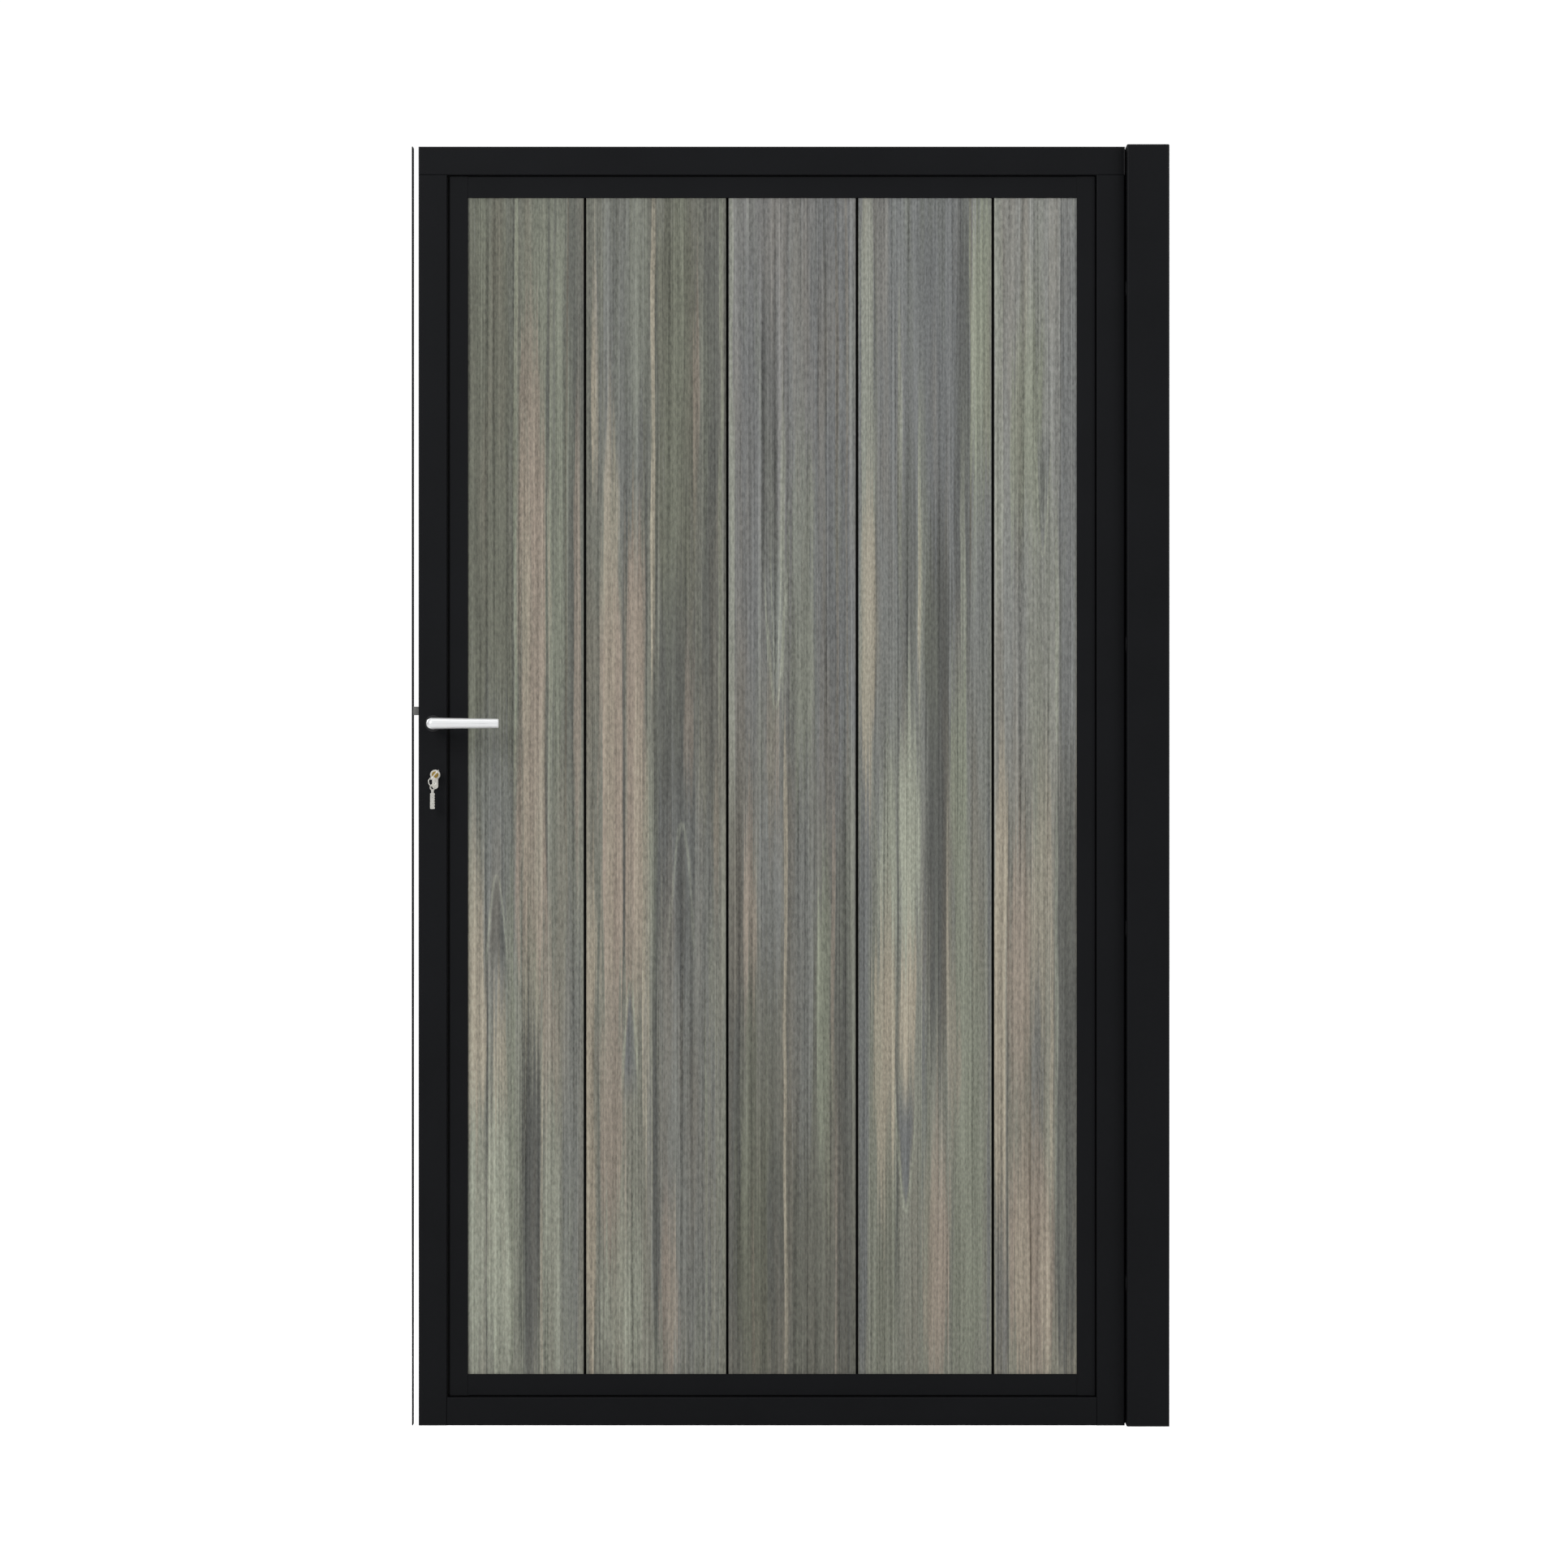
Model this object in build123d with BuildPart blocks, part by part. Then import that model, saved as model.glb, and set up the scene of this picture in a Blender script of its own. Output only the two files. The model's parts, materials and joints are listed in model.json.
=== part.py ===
from build123d import *
import os
from math import cos, radians, sin

os.makedirs("parts", exist_ok=True)

# A single garden gate: an aluminium leaf filled with upright composite boards, hung on a wall
# post, with a lever-operated insert lock that latches into a flat strike strip.
# Millimetres. +X runs from the latch side to the hinge side, +Y from front to back, +Z up.
# The origin lies under the middle of the gate, level with its lower edge.

# ---- Driving sizes: leaf, post and strip ----
LEAF_W = 994.0
LEAF_H = 1800.0
BOX = 40.0  # side of the leaf's square tube
BOX_WALL = 2.0
BOX_CORNER = 2.0
POST = 60.0
POST_WALL = 2.5
POST_CORNER = 3.0
POST_CAP_RISE = 2.0  # the post cap stands this much above the leaf
HINGE_GAP = 2.0
STRIP_T = 1.5
STRIP_GAP = 8.0
FIT = 0.1  # clearance round a loose-fitting piece
RUNNING = 0.05  # radial clearance of a turning fit

# ---- Driving sizes: infill ----
GAP_LATCH = 3.4  # shadow gaps between the frame and the channels
GAP_HINGE = 1.4
GAP_TOP = 1.7
GAP_LOW = 2.2
CHANNEL_SIDE = 26.0  # face width of the upright channels
CHANNEL_ENDS = 30.0  # face width of the top and bottom channels
CHANNEL_D = 26.0
CHANNEL_WALL = 2.5
GASKET_D = 18.0
BOARD_T = 20.4
BOARD_ARRIS = 0.8
SEAM = 3.5  # shadow joint between neighbouring boards
SEAMS = (234.0, 434.4, 617.1, 808.4)  # seam centres from the leaf's latch edge
TONGUE_T = 6.0
TONGUE_REACH = 7.0
GROOVE_D = 8.5
BOARD_PLAY = 2.1  # room at a channel's bottom for the boards to grow
PAD_T = 3.0

# ---- Driving sizes: lock and furniture ----
SPINDLE_U = 20.5  # spindle axis from the leaf's latch edge
SPINDLE_Z = 988.0
CYLINDER_U = 23.5
CYLINDER_DROP = 72.0  # cylinder axis below the spindle axis
LEVER_R = 7.8
LEVER_TIP_R = 6.5
LEVER_L = 93.7  # spindle axis to lever tip
LEVER_Y = 62.2  # lever bar axis from the leaf's middle plane
NECK_IN = 17.0
SPINDLE_W = 8.0
SPINDLE_L = 92.0
CYL_R = 7.0
CYL_H = 27.0
CYL_WEB = 8.5
CYL_L = 48.0
PLUG_R = 4.7
CAM_GAP = 5.2  # half width of the cam's slot in the cylinder
CAM_REACH = 9.0
KEY_LEAN = 40.0  # keyway's angle from upright, in degrees

# ---- Places that follow from them ----
TOTAL_W = STRIP_T + STRIP_GAP + LEAF_W + HINGE_GAP + POST
STRIP_X0 = -TOTAL_W / 2
LEAF_X0 = STRIP_X0 + STRIP_T + STRIP_GAP
LEAF_X1 = LEAF_X0 + LEAF_W
POST_X0 = LEAF_X1 + HINGE_GAP
POST_X1 = POST_X0 + POST
BACK = BOX / 2
POST_FRONT = BACK - POST
POST_MID = ((POST_X0 + POST_X1) / 2, BACK - POST / 2)
OPEN_X0 = LEAF_X0 + BOX  # opening inside the leaf frame
OPEN_X1 = LEAF_X1 - BOX
OPEN_Z0 = BOX
OPEN_Z1 = LEAF_H - BOX
CH_X0 = OPEN_X0 + GAP_LATCH
CH_X1 = OPEN_X1 - GAP_HINGE
CH_Z0 = OPEN_Z0 + GAP_LOW
CH_Z1 = OPEN_Z1 - GAP_TOP
SPINDLE_X = LEAF_X0 + SPINDLE_U
CYL_X = LEAF_X0 + CYLINDER_U
CYL_Z = SPINDLE_Z - CYLINDER_DROP

LOW = (Align.CENTER, Align.CENTER, Align.MIN)


# ---- Shared shapes ----
def save(piece, name):
    """Label a finished piece and write its STEP file."""
    piece.part.label = name
    export_step(piece.part, f"parts/{name}.step")


def front(y):
    """The upright plane at depth y: local x is X, local y is Z, and it faces the front."""
    return Plane.XZ.offset(-y)


def block(low, high, mode=Mode.ADD):
    """A box between two opposite corners."""
    middle = [(a + b) / 2 for a, b in zip(low, high)]
    with Locations(tuple(middle)):
        Box(high[0] - low[0], high[1] - low[1], high[2] - low[2], mode=mode)


def rod_y(x, z, radius, y_front, y_back, mode=Mode.ADD):
    """A round bar along Y."""
    with BuildSketch(front(y_back)) as section:
        with Locations((x, z)):
            Circle(radius)
    extrude(section.sketch, amount=y_back - y_front, mode=mode)


def square_tube(plane, size, wall, corner, length):
    """A square tube that starts centred on the plane and runs along its normal."""
    with BuildPart() as tube:
        with BuildSketch(plane):
            RectangleRounded(size, size, corner)
            RectangleRounded(size - 2 * wall, size - 2 * wall, corner / 2, mode=Mode.SUBTRACT)
        extrude(amount=length)
    return tube.part


def end_plug(plane, size, corner, inside, plate, skirt):
    """A plug for a tube's end: a plate from the plane along its normal, then a hollow skirt."""
    with BuildPart() as plug:
        with BuildSketch(plane):
            RectangleRounded(size, size, corner)
        extrude(amount=plate)
        with BuildSketch(plane.offset(plate)):
            RectangleRounded(inside, inside, corner / 2)
            Rectangle(inside - 4, inside - 4, mode=Mode.SUBTRACT)
        extrude(amount=skirt)
    return plug.part


def countersunk(planes, radius, head, length, grow=0.0, mode=Mode.ADD):
    """Countersunk screws that enter each plane along its normal, or with grow, their holes."""
    with Locations(*planes):
        Cone(head + grow, radius + grow, head - radius, align=LOW, mode=mode)
        Cylinder(radius + grow, length + grow, align=LOW, mode=mode)


def screw_group(planes, radius, head, length):
    """Countersunk screws with a hexagon socket, one on each plane."""
    with BuildPart() as group:
        countersunk(planes, radius, head, length)
        with BuildSketch(*planes):
            RegularPolygon(radius * 0.7, 6)
        extrude(amount=radius * 0.6, mode=Mode.SUBTRACT)
    return group


# ---- Wall post ----
HINGE_HEIGHTS = (180.0, 900.0, 1620.0)
HINGE_L = 100.0
PLATE_T = 3.0
HINGE_SCREW = (2.9, 5.4, 12.0)  # radius, head radius, length
HINGE_SCREW_Z = (-38.0, -14.0, 14.0, 38.0)
GATE_SCREW_X = LEAF_X1 - 25.0
POST_SCREW_X = POST_X0 + 30.0
WALL_BOLT_Z = (200.0, 700.0, 1100.0, 1600.0)
WALL_BOLT_R = 4.5
ACCESS_R = 10.0
CAP_T = 3.0
FOOT_T = 2.0

post_screw_planes = [
    Plane(origin=(POST_SCREW_X, BACK + PLATE_T, height + dz), x_dir=(1, 0, 0), z_dir=(0, -1, 0))
    for height in HINGE_HEIGHTS
    for dz in HINGE_SCREW_Z
]
gate_screw_planes = [
    Plane(origin=(GATE_SCREW_X, BACK + PLATE_T, height + dz), x_dir=(1, 0, 0), z_dir=(0, -1, 0))
    for height in HINGE_HEIGHTS
    for dz in HINGE_SCREW_Z
]
bolt_planes = [
    Plane(origin=(POST_X1, POST_MID[1], z), x_dir=(0, 1, 0), z_dir=(-1, 0, 0)) for z in WALL_BOLT_Z
]
access_planes = [
    Plane(origin=(POST_X0, POST_MID[1], z), x_dir=(0, 1, 0), z_dir=(1, 0, 0)) for z in WALL_BOLT_Z
]

post_top = LEAF_H + POST_CAP_RISE - CAP_T
post_tube = square_tube(
    Plane(origin=(*POST_MID, FOOT_T)), POST, POST_WALL, POST_CORNER, post_top - FOOT_T
)
with BuildPart() as hinge_post:
    add(post_tube)
    with Locations(*bolt_planes):
        Cylinder(WALL_BOLT_R, POST_WALL * 2, align=LOW, mode=Mode.SUBTRACT)
    with Locations(*access_planes):
        Cylinder(ACCESS_R, POST_WALL * 2, align=LOW, mode=Mode.SUBTRACT)
    countersunk(post_screw_planes, *HINGE_SCREW, grow=FIT, mode=Mode.SUBTRACT)
save(hinge_post, "hinge_post")

POST_INSIDE = POST - 2 * POST_WALL - 2 * FIT
cap_plane = Plane(origin=(*POST_MID, post_top + CAP_T), x_dir=(1, 0, 0), z_dir=(0, 0, -1))
cap_solid = end_plug(cap_plane, POST, POST_CORNER, POST_INSIDE, CAP_T, 15)
with BuildPart() as post_cap:
    add(cap_solid)
    fillet(post_cap.faces().sort_by(Axis.Z)[-1].edges(), 1.5)
save(post_cap, "post_cap")

foot_solid = end_plug(Plane(origin=(*POST_MID, 0)), POST, POST_CORNER, POST_INSIDE, FOOT_T, 15)
with BuildPart() as post_foot_plug:
    add(foot_solid)
save(post_foot_plug, "post_foot_plug")

PLUG_LIP_T = 0.8
with BuildPart() as access_hole_plugs:
    with Locations(*[plane.offset(-PLUG_LIP_T) for plane in access_planes]):
        Cylinder(ACCESS_R + 2, PLUG_LIP_T, align=LOW)
        Cylinder(ACCESS_R - FIT, PLUG_LIP_T + POST_WALL + 3, align=LOW)
        Cylinder(ACCESS_R - 2, PLUG_LIP_T, align=LOW, mode=Mode.SUBTRACT)
save(access_hole_plugs, "access_hole_plugs")

SEAL_T = 1.5
SEAL_Y = (4.0, 16.0)
SEAL_END = 2.0  # from the seal's ends to the leaf's
with BuildPart() as hinge_gap_seal:
    block((POST_X0 - SEAL_T, SEAL_Y[0], SEAL_END), (POST_X0, SEAL_Y[1], LEAF_H - SEAL_END))
    chamfer(hinge_gap_seal.edges().filter_by(Axis.Z).group_by(Axis.X)[0], SEAL_T / 3)
save(hinge_gap_seal, "hinge_gap_seal")


# ---- Strike strip ----
LATCH_Z = (12.0, 24.0)  # latch head above the spindle axis
LATCH_HALF = 5.5
BOLT_Z = (-58.0, -40.0)  # dead bolt above the spindle axis
BOLT_HALF = 5.0
STRIKE_PLAY = 1.5
STRIP_SCREW_Z = (100.0, 500.0, 1300.0, 1700.0)
STRIP_SCREW_R = 2.5


def bolt_slots(x0, x1, play):
    """Cut the latch and dead bolt openings through a wall between x0 and x1."""
    for heights, half in ((LATCH_Z, LATCH_HALF), (BOLT_Z, BOLT_HALF)):
        low = (x0, -half - play, SPINDLE_Z + heights[0] - play)
        high = (x1, half + play, SPINDLE_Z + heights[1] + play)
        block(low, high, Mode.SUBTRACT)


with BuildPart() as strike_strip:
    block((STRIP_X0, -BOX / 2, 0), (STRIP_X0 + STRIP_T, BOX / 2, LEAF_H))
    bolt_slots(STRIP_X0 - 1, STRIP_X0 + STRIP_T + 1, STRIKE_PLAY)
    for z in STRIP_SCREW_Z:
        with Locations(Plane(origin=(STRIP_X0 - 1, 0, z), z_dir=(1, 0, 0))):
            Cylinder(STRIP_SCREW_R, STRIP_T + 2, align=LOW, mode=Mode.SUBTRACT)
save(strike_strip, "strike_strip")


# ---- Hinges ----
AXIS_X = LEAF_X1 + HINGE_GAP / 2
AXIS_Y = BACK + 8.0
KNUCKLE_R = 7.0
PIN_R = 4.0
KNUCKLE_MID = 33.0  # length of the gate plate's middle knuckle
WASHER_T = 0.9
KNUCKLE_CLEAR = 0.5  # from a knuckle to the other plate
PLATE_REACH = {"gate": 38.0, "post": 50.0}  # outer edge of each plate from the hinge axis
inner_gap = KNUCKLE_MID / 2 + WASHER_T + 2 * RUNNING


def hinge_plate(side, height):
    """A hinge plate with its knuckles: the post's has two and the gate's one between them."""
    sign = 1 if side == "post" else -1
    planes = post_screw_planes if side == "post" else gate_screw_planes
    bore = PIN_R + 0.02 if side == "post" else PIN_R + RUNNING
    reach = PLATE_REACH[side]
    near = HINGE_GAP / 2 + 0.5
    with BuildPart() as plate:
        with BuildSketch(Plane(origin=(AXIS_X, AXIS_Y, height - HINGE_L / 2))):
            with Locations((sign * (near + reach) / 2, BACK - AXIS_Y + PLATE_T / 2)):
                Rectangle(reach - near, PLATE_T)
            with Locations((sign * (near + KNUCKLE_R) / 2, (BACK - AXIS_Y) / 2)):
                Rectangle(KNUCKLE_R - near, AXIS_Y - BACK)
            Circle(KNUCKLE_R)
            Circle(bore, mode=Mode.SUBTRACT)
        extrude(amount=HINGE_L)
        edge = KNUCKLE_R + KNUCKLE_CLEAR
        gaps = [(-inner_gap, inner_gap)]
        if side == "gate":
            half = KNUCKLE_MID / 2
            gaps = [(-HINGE_L, -half), (half, HINGE_L)]
        for low, high in gaps:
            block(
                (AXIS_X - edge, BACK - 1, height + low),
                (AXIS_X + edge, AXIS_Y + edge, height + high),
                Mode.SUBTRACT,
            )
        outer = plate.edges().filter_by(Axis.Y).group_by(Axis.X)[-1 if side == "post" else 0]
        fillet(outer, 6)
        own = [plane for plane in planes if abs(plane.origin.Z - height) < HINGE_L / 2]
        countersunk(own, *HINGE_SCREW, grow=FIT, mode=Mode.SUBTRACT)
    return plate


for number, height in enumerate(HINGE_HEIGHTS, 1):
    save(hinge_plate("post", height), f"post_hinge_plate_{number}")
    save(hinge_plate("gate", height), f"gate_hinge_plate_{number}")
    with BuildPart() as hinge_pin:
        with Locations((AXIS_X, AXIS_Y, height - HINGE_L / 2)):
            Cylinder(PIN_R, HINGE_L, align=LOW)
        with Locations((AXIS_X, AXIS_Y, height + HINGE_L / 2)):
            Cylinder(KNUCKLE_R - 1, 2.5, align=LOW)
        fillet(hinge_pin.edges().group_by(Axis.Z)[-1], 1.2)
    save(hinge_pin, f"hinge_pin_{number}")

with BuildPart() as hinge_washers:
    for height in HINGE_HEIGHTS:
        low_washer = height - KNUCKLE_MID / 2 - RUNNING - WASHER_T
        high_washer = height + KNUCKLE_MID / 2 + RUNNING
        with Locations((AXIS_X, AXIS_Y, low_washer), (AXIS_X, AXIS_Y, high_washer)):
            Cylinder(KNUCKLE_R - 0.2, WASHER_T, align=LOW)
            Cylinder(PIN_R + RUNNING, WASHER_T, align=LOW, mode=Mode.SUBTRACT)
save(hinge_washers, "hinge_washers")

save(screw_group(post_screw_planes, *HINGE_SCREW), "post_hinge_screws")
save(screw_group(gate_screw_planes, *HINGE_SCREW), "gate_hinge_screws")


# ---- Leaf frame ----
CORNER_SCREW = (2.9, 5.4, 58.0)
CORNER_SCREW_Y = (-8.0, 8.0)
LOW_SCREW_Z = 23.0
BLOCK_L = 30.0
END_T = 1.5
END_SKIRT = 11.0
CHANNEL_SCREW = (1.9, 3.6, 11.0)
SIDE_SCREW_Z = (150.0, 600.0, 1200.0, 1650.0)
END_SCREW_X = (-300.0, 0.0, 300.0)
BOX_INSIDE = BOX - 2 * BOX_WALL - 2 * FIT

top_screw_planes = [
    Plane(origin=(x, y, LEAF_H), z_dir=(0, 0, -1))
    for x in (LEAF_X0 + BOX / 2, LEAF_X1 - BOX / 2)
    for y in CORNER_SCREW_Y
]
low_screw_planes = [
    Plane(origin=(x, y, LOW_SCREW_Z), z_dir=(inward, 0, 0))
    for x, inward in ((LEAF_X0, 1), (LEAF_X1, -1))
    for y in CORNER_SCREW_Y
]
latch_channel_planes = [
    Plane(origin=(CH_X0 + CHANNEL_WALL, 0, z), z_dir=(-1, 0, 0)) for z in SIDE_SCREW_Z
]
hinge_channel_planes = [
    Plane(origin=(CH_X1 - CHANNEL_WALL, 0, z), z_dir=(1, 0, 0)) for z in SIDE_SCREW_Z
]
top_channel_planes = [
    Plane(origin=(x, 0, CH_Z1 - CHANNEL_WALL), z_dir=(0, 0, 1)) for x in END_SCREW_X
]
low_channel_planes = [
    Plane(origin=(x, 0, CH_Z0 + CHANNEL_WALL), z_dir=(0, 0, -1)) for x in END_SCREW_X
]
channel_planes = (
    latch_channel_planes + hinge_channel_planes + top_channel_planes + low_channel_planes
)

top_tube = square_tube(
    Plane(origin=(LEAF_X0 + END_T, 0, LEAF_H - BOX / 2), x_dir=(0, 1, 0), z_dir=(1, 0, 0)),
    BOX, BOX_WALL, BOX_CORNER, LEAF_W - 2 * END_T,
)
with BuildPart() as top_rail:
    add(top_tube)
    countersunk(top_screw_planes, *CORNER_SCREW, grow=FIT, mode=Mode.SUBTRACT)
    countersunk(top_channel_planes, *CHANNEL_SCREW, grow=FIT, mode=Mode.SUBTRACT)
save(top_rail, "top_rail")

low_tube = square_tube(
    Plane(origin=(OPEN_X0, 0, BOX / 2), x_dir=(0, 1, 0), z_dir=(1, 0, 0)),
    BOX, BOX_WALL, BOX_CORNER, OPEN_X1 - OPEN_X0,
)
with BuildPart() as bottom_rail:
    add(low_tube)
    countersunk(low_channel_planes, *CHANNEL_SCREW, grow=FIT, mode=Mode.SUBTRACT)
save(bottom_rail, "bottom_rail")

end_planes = [
    Plane(origin=(x, 0, LEAF_H - BOX / 2), x_dir=(0, 1, 0), z_dir=(inward, 0, 0))
    for x, inward in ((LEAF_X0, 1), (LEAF_X1, -1))
]
end_solids = [end_plug(p, BOX, BOX_CORNER, BOX_INSIDE, END_T, END_SKIRT) for p in end_planes]
with BuildPart() as top_rail_end_plugs:
    add(end_solids)
save(top_rail_end_plugs, "top_rail_end_plugs")

stile_feet = [Plane(origin=(x, 0, 0)) for x in (LEAF_X0 + BOX / 2, LEAF_X1 - BOX / 2)]
foot_solids = [end_plug(p, BOX, BOX_CORNER, BOX_INSIDE, END_T, END_SKIRT) for p in stile_feet]
with BuildPart() as stile_foot_plugs:
    add(foot_solids)
save(stile_foot_plugs, "stile_foot_plugs")

STILE_L = LEAF_H - BOX - END_T
latch_tube, hinge_tube = [
    square_tube(foot.offset(END_T), BOX, BOX_WALL, BOX_CORNER, STILE_L) for foot in stile_feet
]
with BuildPart() as hinge_stile:
    add(hinge_tube)
    countersunk(low_screw_planes[2:], *CORNER_SCREW, grow=FIT, mode=Mode.SUBTRACT)
    countersunk(hinge_channel_planes, *CHANNEL_SCREW, grow=FIT, mode=Mode.SUBTRACT)
    countersunk(gate_screw_planes, *HINGE_SCREW, grow=FIT, mode=Mode.SUBTRACT)
save(hinge_stile, "hinge_stile")

block_planes = [foot.offset(OPEN_Z1 - BLOCK_L) for foot in stile_feet]
block_planes += [
    Plane(origin=(x, 0, BOX / 2), x_dir=(0, 1, 0), z_dir=(1, 0, 0))
    for x in (OPEN_X0, OPEN_X1 - BLOCK_L)
]
with BuildPart() as corner_blocks:
    with BuildSketch(*block_planes):
        RectangleRounded(BOX_INSIDE, BOX_INSIDE, BOX_CORNER)
    extrude(amount=BLOCK_L)
    countersunk(top_screw_planes + low_screw_planes, *CORNER_SCREW, FIT, Mode.SUBTRACT)
save(corner_blocks, "corner_blocks")
save(screw_group(top_screw_planes + low_screw_planes, *CORNER_SCREW), "corner_screws")


# ---- Infill: gaskets, channels, boards ----
half_gasket = GASKET_D / 2
GASKET_CUT = 0.5  # the upright gaskets stop this short of the level ones
with BuildPart() as frame_gaskets:
    for x0, x1 in ((OPEN_X0, CH_X0), (CH_X1, OPEN_X1)):
        block((x0, -half_gasket, CH_Z0 + GASKET_CUT), (x1, half_gasket, CH_Z1 - GASKET_CUT))
    block((OPEN_X0, -half_gasket, OPEN_Z0), (OPEN_X1, half_gasket, CH_Z0))
    block((OPEN_X0, -half_gasket, CH_Z1), (OPEN_X1, half_gasket, OPEN_Z1))
    countersunk(channel_planes, *CHANNEL_SCREW, grow=FIT, mode=Mode.SUBTRACT)
save(frame_gaskets, "frame_gaskets")


def channel(plane, face, length, planes):
    """A U channel from the plane along its normal, open towards the plane's local y."""
    with BuildPart() as piece:
        with BuildSketch(plane):
            with Locations((0, face / 2)):
                Rectangle(CHANNEL_D, face)
            with Locations((0, (face + CHANNEL_WALL) / 2)):
                inside = CHANNEL_D - 2 * CHANNEL_WALL
                Rectangle(inside, face - CHANNEL_WALL, mode=Mode.SUBTRACT)
        extrude(amount=length)
        along = Axis((0, 0, 0), plane.z_dir)
        long_edges = piece.edges().filter_by(along)
        outer = long_edges.filter_by(lambda e: abs(abs(e.center().Y) - CHANNEL_D / 2) < 0.01)
        fillet(outer, 0.8)
        countersunk(planes, *CHANNEL_SCREW, grow=FIT, mode=Mode.SUBTRACT)
    return piece


side_length = CH_Z1 - CH_Z0
across_x0 = CH_X0 + CHANNEL_SIDE
across = CH_X1 - CHANNEL_SIDE - across_x0
channels = {
    "latch_side_channel": (
        Plane(origin=(CH_X0, 0, CH_Z0), x_dir=(0, -1, 0), z_dir=(0, 0, 1)),
        CHANNEL_SIDE, side_length, latch_channel_planes,
    ),
    "hinge_side_channel": (
        Plane(origin=(CH_X1, 0, CH_Z0), x_dir=(0, 1, 0), z_dir=(0, 0, 1)),
        CHANNEL_SIDE, side_length, hinge_channel_planes,
    ),
    "top_channel": (
        Plane(origin=(across_x0, 0, CH_Z1), x_dir=(0, -1, 0), z_dir=(1, 0, 0)),
        CHANNEL_ENDS, across, top_channel_planes,
    ),
    "bottom_channel": (
        Plane(origin=(across_x0, 0, CH_Z0), x_dir=(0, 1, 0), z_dir=(1, 0, 0)),
        CHANNEL_ENDS, across, low_channel_planes,
    ),
}
for name, layout in channels.items():
    save(channel(*layout), name)
save(screw_group(channel_planes, *CHANNEL_SCREW), "channel_screws")

BOARD_Z0 = CH_Z0 + CHANNEL_WALL + PAD_T
BOARD_L = CH_Z1 - CHANNEL_WALL - PAD_T - BOARD_Z0
board_edges = [CH_X0 + CHANNEL_WALL + BOARD_PLAY]
for seam in SEAMS:
    board_edges += [LEAF_X0 + seam - SEAM / 2, LEAF_X0 + seam + SEAM / 2]
board_edges.append(CH_X1 - CHANNEL_WALL - BOARD_PLAY)
board_spans = list(zip(board_edges[0::2], board_edges[1::2]))

for number, (x0, x1) in enumerate(board_spans, 1):
    with BuildPart() as board:
        block((x0, -BOARD_T / 2, BOARD_Z0), (x1, BOARD_T / 2, BOARD_Z0 + BOARD_L))
        upright = board.edges().filter_by(Axis.Z)
        chamfer(upright, BOARD_ARRIS)
        if number > 1:
            groove = TONGUE_T / 2 + 0.3
            block(
                (x0 - 1, -groove, BOARD_Z0 - 1),
                (x0 + GROOVE_D, groove, BOARD_Z0 + BOARD_L + 1),
                Mode.SUBTRACT,
            )
        if number < len(board_spans):
            block(
                (x1 - 1, -TONGUE_T / 2, BOARD_Z0),
                (x1 + SEAM + TONGUE_REACH, TONGUE_T / 2, BOARD_Z0 + BOARD_L),
            )
    save(board, f"board_{number}")

PAD_L = 30.0
with BuildPart() as board_pads:
    for x0, x1 in board_spans:
        middle = (max(x0, across_x0) + min(x1, CH_X1 - CHANNEL_SIDE)) / 2
        for side in (-1, 1):
            x = middle + side * (x1 - x0) / 4
            block(
                (x - PAD_L / 2, -BOARD_T / 2, CH_Z0 + CHANNEL_WALL),
                (x + PAD_L / 2, BOARD_T / 2, BOARD_Z0),
            )
save(board_pads, "board_pads")


# ---- Lock case and its fixings ----
CASE_Z = (SPINDLE_Z - 110.0, SPINDLE_Z + 50.0)
CASE_X = (LEAF_X0 + 2.5, LEAF_X0 + 37.0)
CASE_SKIN = 1.5
CASE_HALF = 7.0  # half depth of the case's inside
CASE_FRONT_WALL = 2.5
FOREND_Z = (SPINDLE_Z - 104.0, SPINDLE_Z + 42.0)
FOREND_HALF = 12.0
FOREND_T = 2.5
FOREND_SCREW = (1.7, 3.0, 6.0)
CASE_SCREW = (1.2, 2.2, 8.0)
BOSS_R = 2.6
COLLAR_R = 6.0
BUSH_R = 9.8
SLOT_PLAY = 0.2
SCREW_DROP = 15.0  # cylinder screw below the cylinder axis
CYLINDER_SCREW = (2.4, 4.2, 27.5)

forend_screw_planes = [
    Plane(origin=(LEAF_X0, 0, z), z_dir=(1, 0, 0)) for z in (FOREND_Z[0] + 6, FOREND_Z[1] - 6)
]
cylinder_screw_planes = [Plane(origin=(LEAF_X0, 0, CYL_Z - SCREW_DROP), z_dir=(1, 0, 0))]
boss_places = [
    (x, z) for x in (CASE_X[0] + 6, CASE_X[1] - 5) for z in (CASE_Z[0] + 5, CASE_Z[1] - 5)
]
case_screw_planes = [
    Plane(origin=(x, -CASE_HALF - CASE_SKIN, z), x_dir=(1, 0, 0), z_dir=(0, 1, 0))
    for x, z in boss_places
]


def cylinder_outline(grow):
    """The lock cylinder's end view: a round head over a narrow web with a rounded foot."""
    foot = CYL_H - CYL_R - CYL_WEB / 2
    with Locations((CYL_X, CYL_Z)):
        Circle(CYL_R + grow)
    with Locations((CYL_X, CYL_Z - foot / 2)):
        Rectangle(CYL_WEB + 2 * grow, foot)
    with Locations((CYL_X, CYL_Z - foot)):
        Circle(CYL_WEB / 2 + grow)


def through_openings(y_front, y_back, spindle_radius, grow):
    """Cut the spindle and cylinder openings through a wall between two depths."""
    rod_y(SPINDLE_X, SPINDLE_Z, spindle_radius, y_front, y_back, Mode.SUBTRACT)
    with BuildSketch(front(y_back)) as outline:
        cylinder_outline(grow)
    extrude(outline.sketch, amount=y_back - y_front, mode=Mode.SUBTRACT)


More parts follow.
